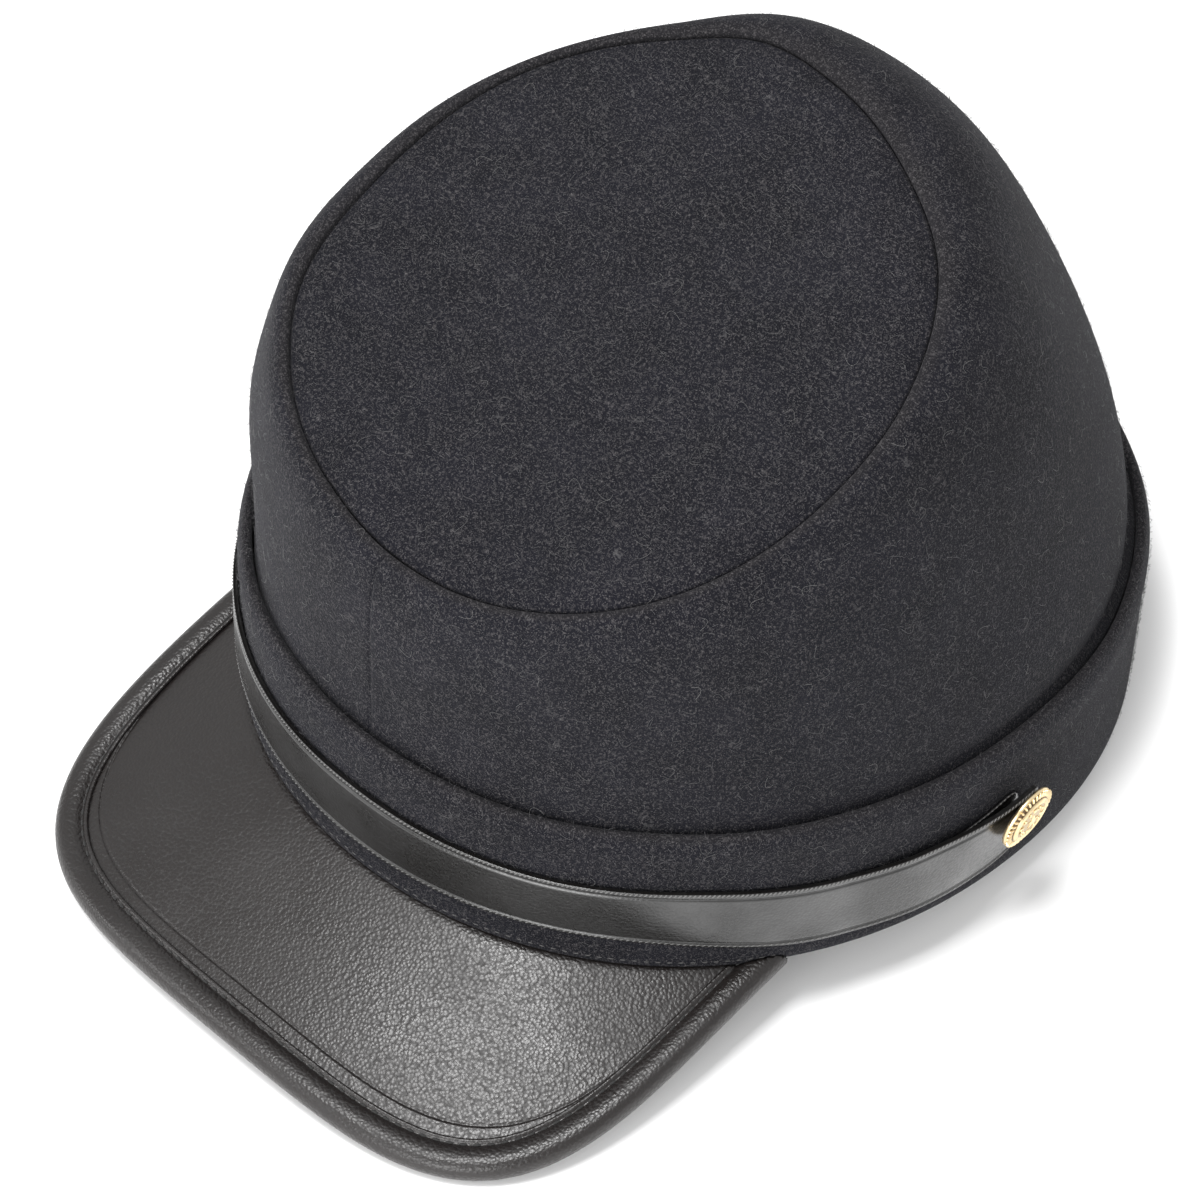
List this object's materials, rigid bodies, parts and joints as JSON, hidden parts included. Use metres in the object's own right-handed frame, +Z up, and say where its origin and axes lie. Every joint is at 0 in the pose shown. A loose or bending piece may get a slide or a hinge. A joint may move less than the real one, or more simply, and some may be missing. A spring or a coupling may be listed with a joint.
{
  "type": "kepi cap",
  "caption": "Felt kepi: flat tilted round crown leaning to the front, folded band, bound visor, chin strap between domed side buttons.",
  "frame": {"origin": "centre of the bottom of the cap's bounding box, on the surface the cap rests on", "axes": "+Z up, -Y the way the visor points, +X towards the wearer's left"},
  "size_m": [0.1982, 0.2482, 0.1518],
  "materials": {
    "felt": "brushed wool felt",
    "visor_leather": "pebble grained, semi-gloss",
    "strap_leather": "fine grained, semi-gloss",
    "brass": "bright gilt, fluted rim"
  },
  "bodies": {
    "root": {"crown_top": "felt", "crown_wall": "felt", "band": "felt", "visor": "visor_leather", "visor_binding": "visor_leather", "chin_strap": "strap_leather", "strap_tail_left": "strap_leather", "strap_tail_right": "strap_leather", "button_left": "brass", "button_right": "brass"}
  },
  "joints": []
}
